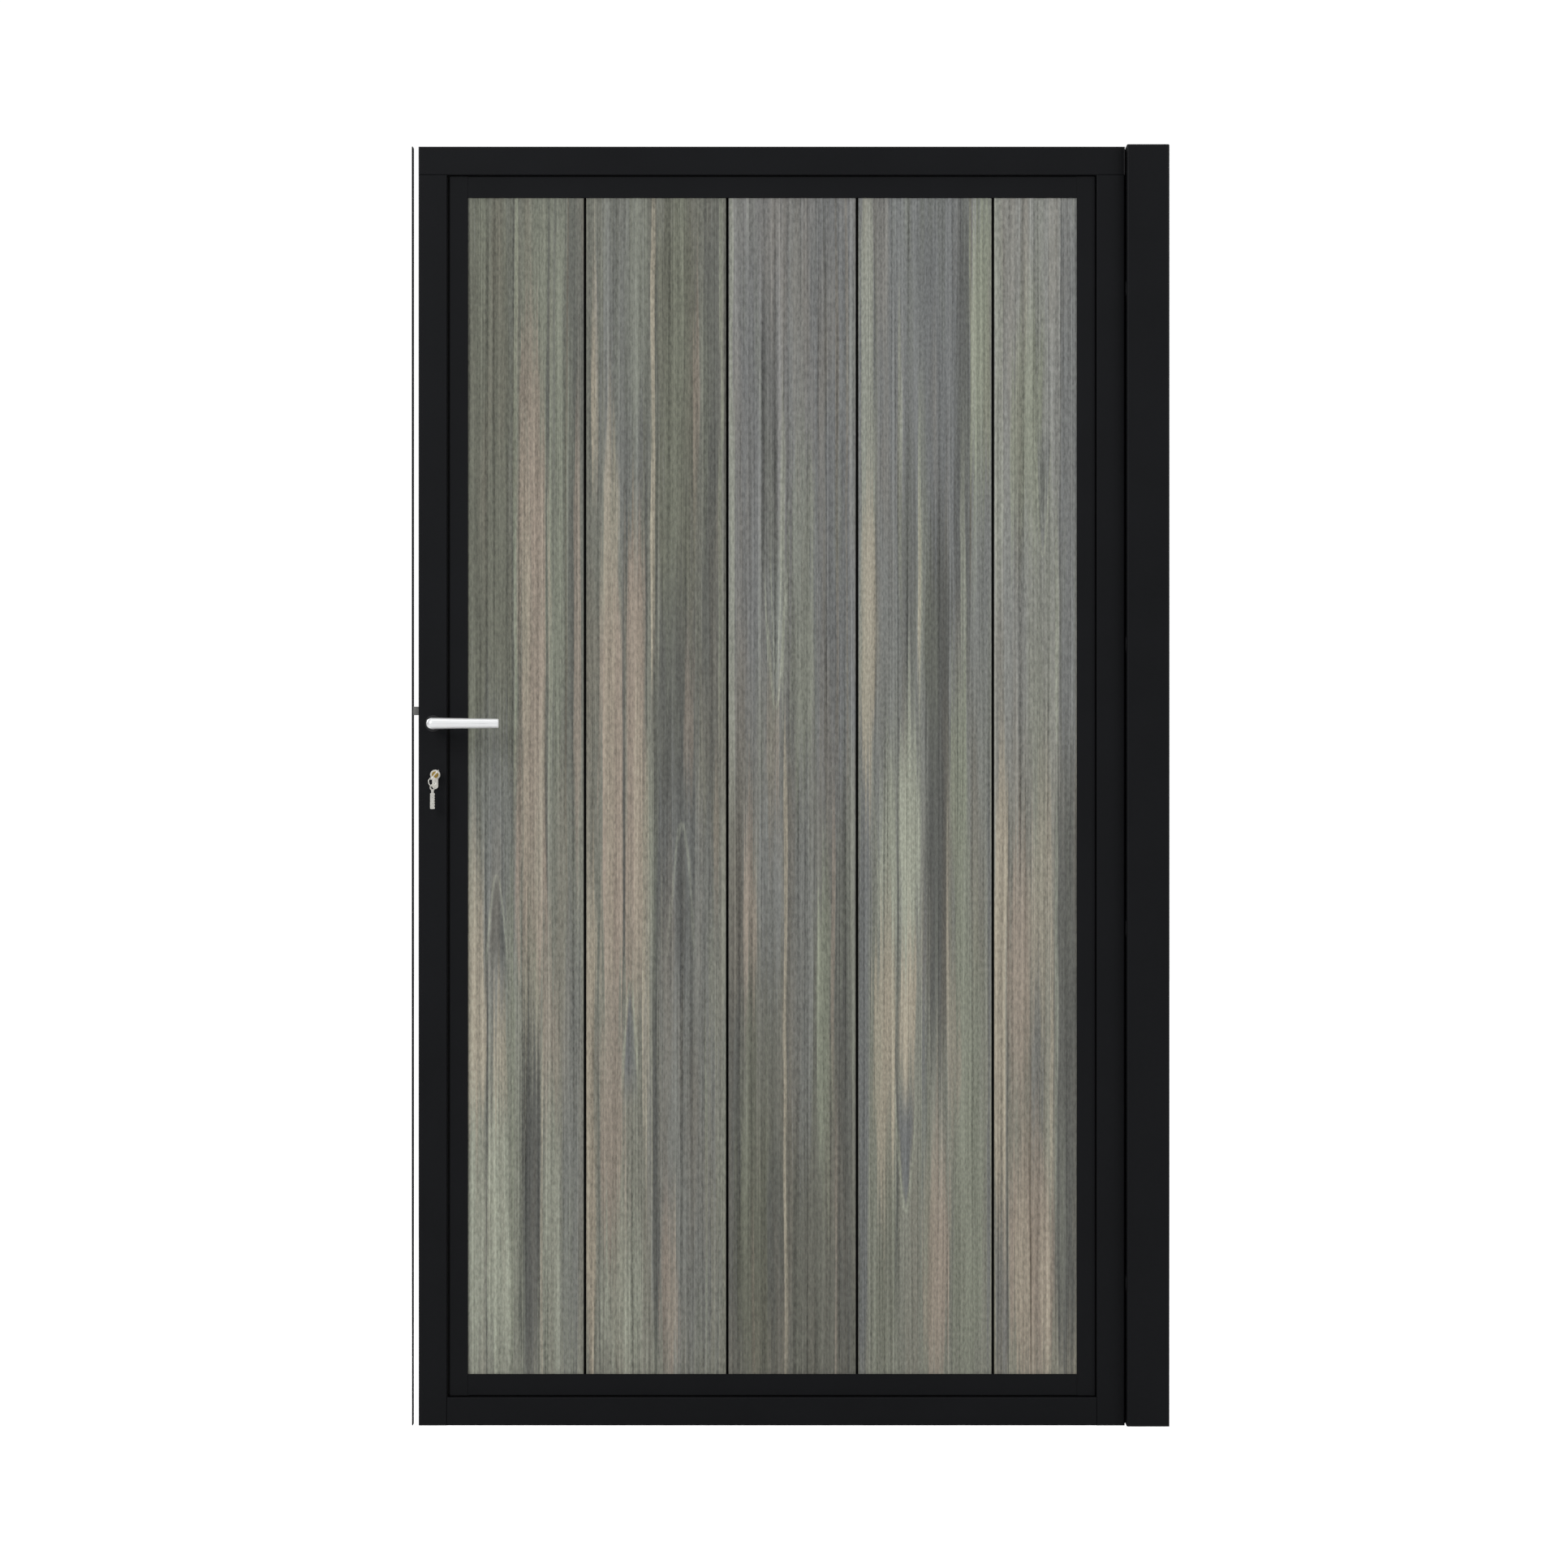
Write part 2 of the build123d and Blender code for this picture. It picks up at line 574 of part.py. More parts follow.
with BuildPart() as latch_stile:
    add(latch_tube)
    countersunk(low_screw_planes[:2], *CORNER_SCREW, grow=FIT, mode=Mode.SUBTRACT)
    countersunk(latch_channel_planes, *CHANNEL_SCREW, grow=FIT, mode=Mode.SUBTRACT)
    block(
        (LEAF_X0 - 1, -FOREND_HALF - FIT, FOREND_Z[0] - FIT),
        (LEAF_X0 + BOX_WALL + 1, FOREND_HALF + FIT, FOREND_Z[1] + FIT),
        Mode.SUBTRACT,
    )
    through_openings(-BOX / 2 - 1, BOX / 2 + 1, BUSH_R + FIT, 0.3)
save(latch_stile, "latch_stile")

with BuildPart() as lock_case:
    block((CASE_X[0], -CASE_HALF, CASE_Z[0]), (CASE_X[1], CASE_HALF + CASE_SKIN, CASE_Z[1]))
    block(
        (CASE_X[0] + CASE_FRONT_WALL, -CASE_HALF, CASE_Z[0] + CASE_SKIN),
        (CASE_X[1] - CASE_SKIN, CASE_HALF, CASE_Z[1] - CASE_SKIN),
        Mode.SUBTRACT,
    )
    for x, z in boss_places:
        rod_y(x, z, BOSS_R, -CASE_HALF, CASE_HALF)
    bolt_slots(CASE_X[0] - 1, CASE_X[0] + CASE_FRONT_WALL, SLOT_PLAY)
    through_openings(CASE_HALF, CASE_HALF + CASE_SKIN + 1, COLLAR_R + RUNNING, FIT)
    countersunk(forend_screw_planes, *FOREND_SCREW, grow=FIT, mode=Mode.SUBTRACT)
    countersunk(cylinder_screw_planes, *CYLINDER_SCREW, grow=FIT, mode=Mode.SUBTRACT)
    countersunk(case_screw_planes, *CASE_SCREW, grow=FIT, mode=Mode.SUBTRACT)
save(lock_case, "lock_case")

with BuildPart() as lock_cover:
    block((CASE_X[0], -CASE_HALF - CASE_SKIN, CASE_Z[0]), (CASE_X[1], -CASE_HALF, CASE_Z[1]))
    through_openings(-CASE_HALF - CASE_SKIN - 1, -CASE_HALF, COLLAR_R + RUNNING, FIT)
    countersunk(case_screw_planes, *CASE_SCREW, grow=FIT, mode=Mode.SUBTRACT)
save(lock_cover, "lock_cover")

with BuildPart() as lock_forend:
    block((LEAF_X0, -FOREND_HALF, FOREND_Z[0]), (LEAF_X0 + FOREND_T, FOREND_HALF, FOREND_Z[1]))
    fillet(lock_forend.edges().filter_by(Axis.X), 1.0)
    bolt_slots(LEAF_X0 - 1, LEAF_X0 + FOREND_T, SLOT_PLAY)
    countersunk(forend_screw_planes, *FOREND_SCREW, grow=FIT, mode=Mode.SUBTRACT)
    countersunk(cylinder_screw_planes, *CYLINDER_SCREW, grow=FIT, mode=Mode.SUBTRACT)
save(lock_forend, "lock_forend")

save(screw_group(forend_screw_planes, *FOREND_SCREW), "forend_screws")
save(screw_group(case_screw_planes, *CASE_SCREW), "lock_case_screws")
save(screw_group(cylinder_screw_planes, *CYLINDER_SCREW), "cylinder_screw")


# ---- Latch, dead bolt and follower ----
FOLLOWER_R = 7.0
FOLLOWER_HALF = 5.0
ARM_R = 13.0
ARM_HALF = 2.5
ARM_DEPTH = 3.0
LATCH_PROUD = 9.3
LATCH_HEAD_END = 3.0  # inner end of the latch head from the leaf's latch edge
LUG_X = (3.1, 6.1)  # latch lug from the spindle axis
LUG_LOW = 9.0
TAIL_Z = (14.0, 22.0)
BOLT_L = 30.0
BOLT_LUG = (22.0, 26.0)

with BuildPart() as latch_bolt:
    with BuildSketch(Plane.XY.offset(SPINDLE_Z + LATCH_Z[0])):
        with BuildLine():
            Polyline(
                (LEAF_X0 + LATCH_HEAD_END, -LATCH_HALF),
                (LEAF_X0 - 1, -LATCH_HALF),
                (LEAF_X0 - LATCH_PROUD, 2.0),
                (LEAF_X0 - LATCH_PROUD, LATCH_HALF),
                (LEAF_X0 + LATCH_HEAD_END, LATCH_HALF),
                close=True,
            )
        make_face()
    extrude(amount=LATCH_Z[1] - LATCH_Z[0])
    block(
        (LEAF_X0 + LATCH_HEAD_END - 1, -ARM_DEPTH, SPINDLE_Z + TAIL_Z[0]),
        (SPINDLE_X + LUG_X[1], ARM_DEPTH, SPINDLE_Z + TAIL_Z[1]),
    )
    block(
        (SPINDLE_X + LUG_X[0], -ARM_DEPTH, SPINDLE_Z + LUG_LOW),
        (SPINDLE_X + LUG_X[1], ARM_DEPTH, SPINDLE_Z + TAIL_Z[1]),
    )
save(latch_bolt, "latch_bolt")

with BuildPart() as dead_bolt:
    block(
        (LEAF_X0, -BOLT_HALF, SPINDLE_Z + BOLT_Z[0]),
        (LEAF_X0 + BOLT_L, BOLT_HALF, SPINDLE_Z + BOLT_Z[1]),
    )
    chamfer(dead_bolt.faces().sort_by(Axis.X)[0].edges(), 0.8)
    block(
        (LEAF_X0 + BOLT_LUG[0], -BOLT_HALF + 1, SPINDLE_Z + BOLT_Z[0] - 4),
        (LEAF_X0 + BOLT_LUG[1], BOLT_HALF - 1, SPINDLE_Z + BOLT_Z[0] + 1),
    )
save(dead_bolt, "dead_bolt")

socket_half = SPINDLE_W / 2 + FIT
with BuildPart() as follower:
    rod_y(SPINDLE_X, SPINDLE_Z, FOLLOWER_R, -FOLLOWER_HALF, FOLLOWER_HALF)
    rod_y(SPINDLE_X, SPINDLE_Z, COLLAR_R, -CASE_HALF - CASE_SKIN, CASE_HALF + CASE_SKIN)
    block(
        (SPINDLE_X - ARM_HALF, -ARM_DEPTH, SPINDLE_Z),
        (SPINDLE_X + ARM_HALF, ARM_DEPTH, SPINDLE_Z + ARM_R),
    )
    block(
        (SPINDLE_X - socket_half, -BOX, SPINDLE_Z - socket_half),
        (SPINDLE_X + socket_half, BOX, SPINDLE_Z + socket_half),
        Mode.SUBTRACT,
    )
save(follower, "follower")

SPRING_WIRE = 0.35
with BuildPart() as return_spring:
    with BuildLine() as coil:
        Helix(0.85, 1.0, FOLLOWER_R, (SPINDLE_X, FOLLOWER_HALF + 0.5, SPINDLE_Z), (0, 1, 0))
    with BuildSketch(Plane(origin=coil.line @ 0, z_dir=coil.line % 0)):
        Circle(SPRING_WIRE)
    sweep()
save(return_spring, "return_spring")


# ---- Lever handles ----
LEVER_BUSH_LIP = 1.2
GRUB_R = 2.4
GRUB_L = 3.6
GRUB_Y = 30.0
SOCKET_END = SPINDLE_L / 2 + 2

with BuildPart() as lever_front:
    rod_y(SPINDLE_X, SPINDLE_Z, LEVER_R, -LEVER_Y, -NECK_IN)
    with Locations((SPINDLE_X, -LEVER_Y, SPINDLE_Z)):
        Sphere(LEVER_R)
    with Locations(Plane(origin=(SPINDLE_X, -LEVER_Y, SPINDLE_Z), z_dir=(1, 0, 0))):
        Cone(LEVER_R, LEVER_TIP_R, LEVER_L, align=LOW)
    chamfer(lever_front.edges().sort_by(Axis.X)[-1], 0.8)
    block(
        (SPINDLE_X - socket_half, -SOCKET_END, SPINDLE_Z - socket_half),
        (SPINDLE_X + socket_half, 0, SPINDLE_Z + socket_half),
        Mode.SUBTRACT,
    )
    with Locations((SPINDLE_X, -GRUB_Y, SPINDLE_Z - LEVER_R)):
        Cylinder(GRUB_R + FIT, LEVER_R, align=LOW, mode=Mode.SUBTRACT)
save(lever_front, "lever_front")

with BuildPart() as lever_rear:
    mirror(lever_front.part, about=Plane.XZ)
save(lever_rear, "lever_rear")

half_spindle = SPINDLE_W / 2
with BuildPart() as spindle:
    block(
        (SPINDLE_X - half_spindle, -SPINDLE_L / 2, SPINDLE_Z - half_spindle),
        (SPINDLE_X + half_spindle, SPINDLE_L / 2, SPINDLE_Z + half_spindle),
    )
    chamfer(spindle.edges().filter_by(Axis.Y), 0.6)
save(spindle, "spindle")

with BuildPart() as lever_grub_screws:
    for y in (-GRUB_Y, GRUB_Y):
        with Locations((SPINDLE_X, y, SPINDLE_Z - half_spindle - GRUB_L)):
            Cylinder(GRUB_R, GRUB_L, align=LOW)
        with BuildSketch(Plane(origin=(SPINDLE_X, y, SPINDLE_Z - half_spindle - GRUB_L))):
            RegularPolygon(GRUB_R * 0.6, 6)
        extrude(amount=GRUB_L * 0.5, mode=Mode.SUBTRACT)
save(lever_grub_screws, "lever_grub_screws")

with BuildPart() as lever_bushes:
    rod_y(SPINDLE_X, SPINDLE_Z, BUSH_R + 1.8, -BOX / 2 - LEVER_BUSH_LIP, -BOX / 2)
    rod_y(SPINDLE_X, SPINDLE_Z, BUSH_R, -BOX / 2, -NECK_IN + 0.5)
    rod_y(SPINDLE_X, SPINDLE_Z, LEVER_R + RUNNING, -BOX, 0, Mode.SUBTRACT)
    fillet(lever_bushes.edges().group_by(Axis.Y)[0].sort_by(SortBy.LENGTH)[-1], 0.8)
    mirror(lever_bushes.part, about=Plane.XZ)
save(lever_bushes, "lever_bushes")


# ---- Lock cylinder ----
PLUG_END = 1.0  # inner end of the front plug from the leaf's middle plane
KEY_T = 1.4
KEY_HALF = 3.2
KEY_IN = 3.5
LEAN = radians(KEY_LEAN)
# Local x runs along the keyway's upper end, local y out of the front of the lock.
key_plane = Plane(
    origin=(CYL_X, 0, CYL_Z), x_dir=(sin(LEAN), 0, cos(LEAN)), z_dir=(cos(LEAN), 0, -sin(LEAN))
)


def keyway(y0, y1):
    """Cut a keyway between two distances out from the leaf's middle plane."""
    with BuildSketch(key_plane) as slot:
        with Locations((0, (y0 + y1) / 2)):
            Rectangle(2 * KEY_HALF + 2 * FIT, y1 - y0)
    extrude(slot.sketch, amount=KEY_T / 2 + FIT, both=True, mode=Mode.SUBTRACT)


with BuildPart() as cylinder_body:
    with BuildSketch(front(CYL_L / 2)):
        cylinder_outline(0)
    extrude(amount=CYL_L)
    rod_y(CYL_X, CYL_Z, PLUG_R + RUNNING, -CYL_L, CYL_L, Mode.SUBTRACT)
    block(
        (CYL_X - CYL_R - 1, -CAM_GAP, CYL_Z - CAM_REACH - 0.5),
        (CYL_X + CYL_R + 1, CAM_GAP, CYL_Z + CYL_R + 1),
        Mode.SUBTRACT,
    )
    countersunk(cylinder_screw_planes, *CYLINDER_SCREW, grow=FIT, mode=Mode.SUBTRACT)
save(cylinder_body, "cylinder_body")

with BuildPart() as cylinder_plug:
    rod_y(CYL_X, CYL_Z, PLUG_R, -CYL_L / 2, -PLUG_END)
    keyway(KEY_IN - 0.5, CYL_L / 2 + 1)
save(cylinder_plug, "cylinder_plug")

with BuildPart() as cylinder_rear_plug:
    rod_y(CYL_X, CYL_Z, PLUG_R, CAM_GAP, CYL_L / 2)
    keyway(-CYL_L / 2 - 1, -CAM_GAP - 2)
save(cylinder_rear_plug, "cylinder_rear_plug")

CAM_HALF = 4.8
with BuildPart() as cylinder_cam:
    rod_y(CYL_X, CYL_Z, CYL_R - 0.2, -CAM_HALF, CAM_HALF)
    with BuildSketch(front(CAM_HALF)):
        with Locations((CYL_X - CAM_REACH / 2, CYL_Z)):
            Rectangle(CAM_REACH - 1, 4)
    extrude(amount=2 * CAM_HALF)
    rod_y(CYL_X, CYL_Z, PLUG_R, -CAM_HALF, -PLUG_END, Mode.SUBTRACT)
save(cylinder_cam, "cylinder_cam")


# ---- Key, key ring and spare key ----
BOW_W = 18.0
BOW_Y = (28.0, 49.0)
BOW_HOLE_R = 3.2
BOW_HOLE = (-4.6, 42.0)
RING_R = 6.2
RING_WIRE = 0.6
RING_TURN = 30.0
SPARE_TURN = 35.0
EYE_R = 4.4
EYE_HOLE_R = 2.8
EYE_DROP = 1.8  # eye centre below the ring's lowest point
SPARE_W = 7.4
SPARE_BLADE_Z = (8.0, 30.4)  # blade's ends below the eye centre

with BuildPart() as key:
    with BuildSketch(key_plane):
        with Locations((0, (KEY_IN + BOW_Y[0]) / 2 + 0.5)):
            Rectangle(2 * KEY_HALF, BOW_Y[0] - KEY_IN + 1)
        with Locations((0, (BOW_Y[0] + BOW_Y[1]) / 2)):
            RectangleRounded(BOW_W, BOW_Y[1] - BOW_Y[0], 7)
        with Locations(BOW_HOLE):
            Circle(BOW_HOLE_R, mode=Mode.SUBTRACT)
        for step in range(5):
            with Locations((-KEY_HALF, KEY_IN + 3.0 + 3.4 * step)):
                RegularPolygon(1.1, 4, mode=Mode.SUBTRACT)
    extrude(amount=KEY_T / 2, both=True)
save(key, "key")

ring_top = key_plane.from_local_coords(Vector(*BOW_HOLE, 0))
ring_centre = ring_top - Vector(0, 0, RING_R)
across_ring = Vector(sin(radians(RING_TURN)), -cos(radians(RING_TURN)), 0)
with BuildPart() as key_ring:
    with Locations(Plane(origin=ring_centre, z_dir=across_ring)):
        Torus(RING_R, RING_WIRE)
save(key_ring, "key_ring")

eye = ring_top - Vector(0, 0, 2 * RING_R + EYE_DROP)
spare_plane = Plane(
    origin=eye,
    x_dir=(cos(radians(SPARE_TURN)), -sin(radians(SPARE_TURN)), 0),
    z_dir=(-sin(radians(SPARE_TURN)), -cos(radians(SPARE_TURN)), 0),
)
with BuildPart() as spare_key:
    with BuildSketch(spare_plane):
        Circle(EYE_R)
        with Locations((0, -(EYE_R + SPARE_BLADE_Z[0]) / 2)):
            Rectangle(SPARE_W * 0.5, SPARE_BLADE_Z[0] - EYE_R + 2)
        with Locations((0, -sum(SPARE_BLADE_Z) / 2)):
            RectangleRounded(SPARE_W, SPARE_BLADE_Z[1] - SPARE_BLADE_Z[0], 1.2)
        Circle(EYE_HOLE_R, mode=Mode.SUBTRACT)
        for step in range(5):
            with Locations((SPARE_W / 2, -SPARE_BLADE_Z[0] - 4.0 - 3.6 * step)):
                RegularPolygon(1.2, 4, mode=Mode.SUBTRACT)
    extrude(amount=KEY_T / 2, both=True)
save(spare_key, "spare_key")
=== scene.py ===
"""Looks of a garden gate: powder-coated tube, embossed composite boards, silver levers and a key.

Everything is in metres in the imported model's own frame: +X from the latch side to the hinge side,
+Y from the front to the back, +Z up, with the leaf's lower edge at z = 0.
"""

import json
import math

import bpy
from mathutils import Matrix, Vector


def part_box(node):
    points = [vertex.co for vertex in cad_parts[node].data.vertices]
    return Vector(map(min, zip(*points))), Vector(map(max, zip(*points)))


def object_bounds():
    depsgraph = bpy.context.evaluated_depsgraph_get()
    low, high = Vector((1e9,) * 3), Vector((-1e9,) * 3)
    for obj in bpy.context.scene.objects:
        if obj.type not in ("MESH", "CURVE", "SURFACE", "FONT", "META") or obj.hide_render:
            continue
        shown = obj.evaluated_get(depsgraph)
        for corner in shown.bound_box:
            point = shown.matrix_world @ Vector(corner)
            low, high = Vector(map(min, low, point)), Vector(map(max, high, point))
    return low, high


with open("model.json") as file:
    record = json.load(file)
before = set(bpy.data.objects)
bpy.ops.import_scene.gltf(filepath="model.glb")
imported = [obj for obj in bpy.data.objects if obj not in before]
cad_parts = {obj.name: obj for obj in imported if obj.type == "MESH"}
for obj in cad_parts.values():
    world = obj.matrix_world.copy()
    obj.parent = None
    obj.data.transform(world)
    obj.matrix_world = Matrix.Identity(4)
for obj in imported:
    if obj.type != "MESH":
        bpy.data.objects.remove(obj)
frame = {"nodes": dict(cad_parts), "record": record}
cad_low, cad_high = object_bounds()
MM = 0.001


# ---- Node helpers ----


def srgb(red, green, blue):
    """A colour given as display levels from 0 to 255, as linear RGBA."""
    linear = []
    for level in (red, green, blue):
        value = level / 255
        linear.append(value / 12.92 if value <= 0.04045 else ((value + 0.055) / 1.055) ** 2.4)
    return (*linear, 1.0)


def feed(tree, socket, value):
    """Links a socket into another one, or sets a plain value on it."""
    if isinstance(value, bpy.types.NodeSocket):
        tree.links.new(value, socket)
    else:
        socket.default_value = value


def calc(tree, operation, *values):
    node = tree.nodes.new("ShaderNodeMath")
    node.operation = operation
    for socket, value in zip(node.inputs, values):
        feed(tree, socket, value)
    return node.outputs[0]


def smooth(tree, value, low, high, start=0.0, end=1.0):
    """A smooth step of value, from start at low to end at high."""
    node = tree.nodes.new("ShaderNodeMapRange")
    node.interpolation_type = "SMOOTHSTEP"
    for socket, given in zip(node.inputs, (value, low, high, start, end)):
        feed(tree, socket, given)
    return node.outputs[0]


def blend(tree, share, first, second):
    node = tree.nodes.new("ShaderNodeMix")
    node.data_type = "RGBA"
    for socket, given in zip((node.inputs[0], node.inputs[6], node.inputs[7]), (share, first, second)):
        feed(tree, socket, given)
    return node.outputs[2]


def scaled(tree, colour, factor):
    node = tree.nodes.new("ShaderNodeVectorMath")
    node.operation = "SCALE"
    feed(tree, node.inputs[0], colour)
    feed(tree, node.inputs["Scale"], factor)
    return node.outputs[0]


def stretched(tree, place, scales, shift=0.0):
    """The place, multiplied axis by axis and shifted, as the coordinates of a noise."""
    node = tree.nodes.new("ShaderNodeVectorMath")
    node.operation = "MULTIPLY_ADD"
    feed(tree, node.inputs[0], place)
    node.inputs[1].default_value = scales
    node.inputs[2].default_value = (shift, shift * 0.7, shift * 1.3)
    return node.outputs[0]


def noise(tree, place, scales, detail=2.0, shift=0.0):
    """Noise from about -0.5 to 0.5. The scales are features per metre along each axis."""
    node = tree.nodes.new("ShaderNodeTexNoise")
    feed(tree, node.inputs["Vector"], stretched(tree, place, scales, shift))
    node.inputs["Scale"].default_value = 1.0
    node.inputs["Detail"].default_value = detail
    return calc(tree, "SUBTRACT", node.outputs[0], 0.5)


def bump(tree, shader, height, depth, strength=1.0):
    """Gives the shader a relief of that depth in metres where height goes from 0 to 1."""
    node = tree.nodes.new("ShaderNodeBump")
    node.inputs["Strength"].default_value = strength
    node.inputs["Distance"].default_value = depth
    feed(tree, node.inputs["Height"], height)
    feed(tree, shader.inputs["Normal"], node.outputs[0])


def new_material(name, roughness=0.5, metallic=0.0, specular=0.5):
    """A principled material; returns it with its tree, its shader and the object's own place."""
    material = bpy.data.materials.new(name)
    material.use_nodes = True
    tree = material.node_tree
    shader = next(node for node in tree.nodes if node.type == "BSDF_PRINCIPLED")
    shader.inputs["Roughness"].default_value = roughness
    shader.inputs["Metallic"].default_value = metallic
    shader.inputs["Specular IOR Level"].default_value = specular
    place = tree.nodes.new("ShaderNodeTexCoord").outputs["Object"]
    return material, tree, shader, place


# ---- Composite boards ----

# A tone is a colour as display levels. They are the boards' own pigments.
TONES = {
    "slate": (103, 105, 105),
    "pewter": (117, 119, 117),
    "olive": (95, 96, 85),
    "shade": (82, 83, 80),
    "umber": (84, 74, 62),
    "fawn": (121, 114, 102),
    "rose": (141, 130, 118),
    "sand": (155, 147, 131),
    "sage": (124, 128, 113),
    "mist": (146, 149, 135),
    "cream": (163, 156, 139),
}

